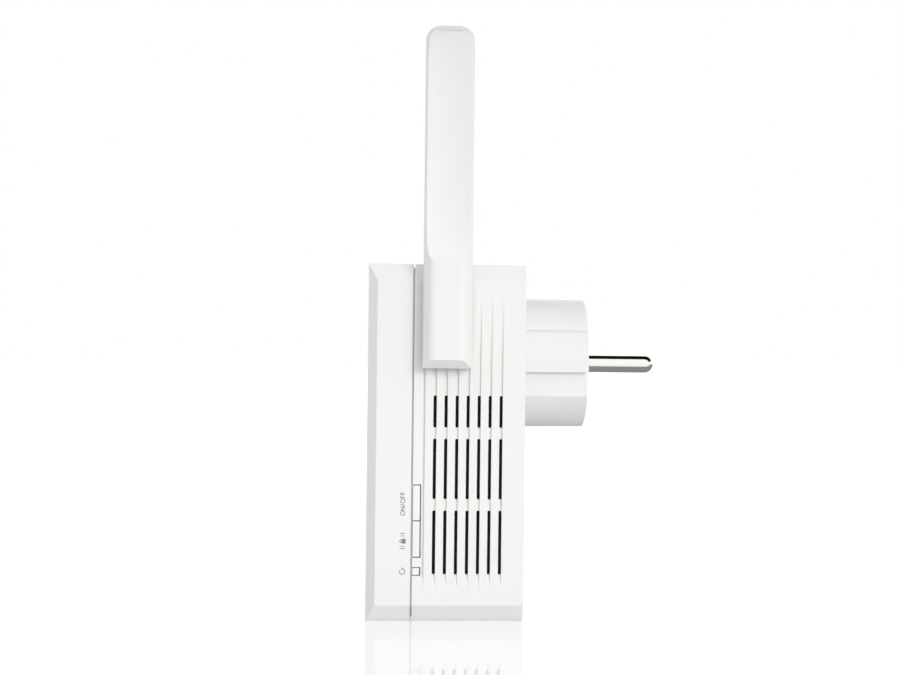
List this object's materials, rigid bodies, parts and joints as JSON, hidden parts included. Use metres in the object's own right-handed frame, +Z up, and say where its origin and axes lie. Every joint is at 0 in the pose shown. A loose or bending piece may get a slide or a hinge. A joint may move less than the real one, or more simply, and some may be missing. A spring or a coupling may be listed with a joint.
{
  "type": "wifi range extender",
  "caption": "Plug-in wifi range extender: white vented box with folding paddle antennas, side buttons, wall plug and pass-through socket.",
  "frame": {"origin": "where the axis of the wall plug meets the wall face (the rear face of the housing)", "axes": "+Z up, along the raised antennas; +Y out of the rear face, the way the plug points into the wall; +X to the side with the push buttons"},
  "size_m": [0.084, 0.0792, 0.1555],
  "materials": {
    "white_housing_abs": "satin",
    "white_antenna_abs": "satin",
    "white_button_abs": "satin",
    "white_plug_polycarbonate": "fine matt",
    "white_socket_polycarbonate": "gloss",
    "grey_nylon": "matt",
    "black_dust_screen": "matt",
    "nickel_plated_brass": "bright plated",
    "nickel_plated_spring_strip": "plated",
    "bare_brass": "mill",
    "zinc_plated_steel": "zinc plated",
    "spring_steel": "drawn",
    "green_fibreglass": "solder mask",
    "copper_laminate": "etched",
    "tinned_steel": "tinned",
    "gold_plated_wire": "gold plated",
    "black_epoxy": "moulded",
    "anodised_aluminium": "anodised",
    "led_lens": "clear lens",
    "clear_acrylic": "clear",
    "amber_polyester_tape": "tape",
    "black_capacitor_sleeve": "shrink sleeve",
    "fuse_glass": "clear",
    "blue_epoxy": "dipped",
    "black_coax_jacket": "extruded"
  },
  "bodies": {
    "chassis": {"front_cover": "white_housing_abs", "rear_housing": "white_housing_abs", "vent_screen_left": "black_dust_screen", "vent_screen_right": "black_dust_screen", "case_screws": "zinc_plated_steel", "plug_body": "white_plug_polycarbonate", "plug_pin_left": "nickel_plated_brass", "plug_pin_right": "nickel_plated_brass", "plug_earth_strip_top": "nickel_plated_spring_strip", "plug_earth_strip_bottom": "nickel_plated_spring_strip", "plug_earth_tube": "nickel_plated_spring_strip", "socket_insert": "white_socket_polycarbonate", "socket_base": "grey_nylon", "socket_screws": "zinc_plated_steel", "socket_earth_strap": "nickel_plated_spring_strip", "socket_contact_left": "nickel_plated_brass", "socket_contact_right": "nickel_plated_brass", "line_bar": "bare_brass", "neutral_bar": "bare_brass", "earth_bar": "bare_brass", "board_screws": "zinc_plated_steel", "main_board": "green_fibreglass", "rf_shield": "tinned_steel", "processor": "black_epoxy", "heat_sink": "anodised_aluminium", "status_leds": "led_lens", "light_pipe": "clear_acrylic", "power_board": "green_fibreglass", "transformer": "amber_polyester_tape", "input_capacitor": "black_capacitor_sleeve", "output_capacitor": "black_capacitor_sleeve", "choke": "black_epoxy", "fuse": "fuse_glass", "varistor": "blue_epoxy", "bridge_rectifier": "black_epoxy", "port_board": "green_fibreglass", "ethernet_jack": "tinned_steel", "ethernet_contacts": "gold_plated_wire", "button_board": "green_fibreglass", "power_switch": "black_epoxy", "pair_switch": "black_epoxy", "reset_switch": "black_epoxy", "shutter_spring": "spring_steel"},
    "antenna_right": {"antenna_right_shell": "white_antenna_abs", "antenna_right_lid": "white_antenna_abs", "antenna_right_washer": "spring_steel", "antenna_right_clip": "zinc_plated_steel", "antenna_right_radiator": "copper_laminate", "antenna_right_cable": "black_coax_jacket"},
    "antenna_left": {"antenna_left_shell": "white_antenna_abs", "antenna_left_lid": "white_antenna_abs", "antenna_left_washer": "spring_steel", "antenna_left_clip": "zinc_plated_steel", "antenna_left_radiator": "copper_laminate", "antenna_left_cable": "black_coax_jacket"},
    "power_button": {"power_button": "white_button_abs"},
    "pair_button": {"pair_button": "white_button_abs"},
    "reset_button": {"reset_button": "white_button_abs"},
    "shutter": {"socket_shutter": "grey_nylon"}
  },
  "joints": [
    {"name": "antenna_right_turn", "type": "hinge", "parent": "chassis", "child": "antenna_right", "pos_m": [0.033, -0.0208, 0.0123], "axis": [1, 0, 0], "range_deg": [0, 180]},
    {"name": "antenna_left_turn", "type": "hinge", "parent": "chassis", "child": "antenna_left", "pos_m": [-0.033, -0.0208, 0.0123], "axis": [1, 0, 0], "range_deg": [0, 180]},
    {"name": "power_press", "type": "slide", "parent": "chassis", "child": "power_button", "axis": [-1, 0, 0], "range_m": [0, 0.0012], "stiffness_N_per_m": 600},
    {"name": "pair_press", "type": "slide", "parent": "chassis", "child": "pair_button", "axis": [-1, 0, 0], "range_m": [0, 0.0012], "stiffness_N_per_m": 400},
    {"name": "reset_press", "type": "slide", "parent": "chassis", "child": "reset_button", "axis": [-1, 0, 0], "range_m": [0, 0.0012], "stiffness_N_per_m": 400},
    {"name": "shutter_slide", "type": "slide", "parent": "chassis", "child": "shutter", "axis": [0, 0, 1], "range_m": [0, 0.0064], "stiffness_N_per_m": 30, "springref_m": -0.002, "deforming": ["shutter_spring"]}
  ]
}
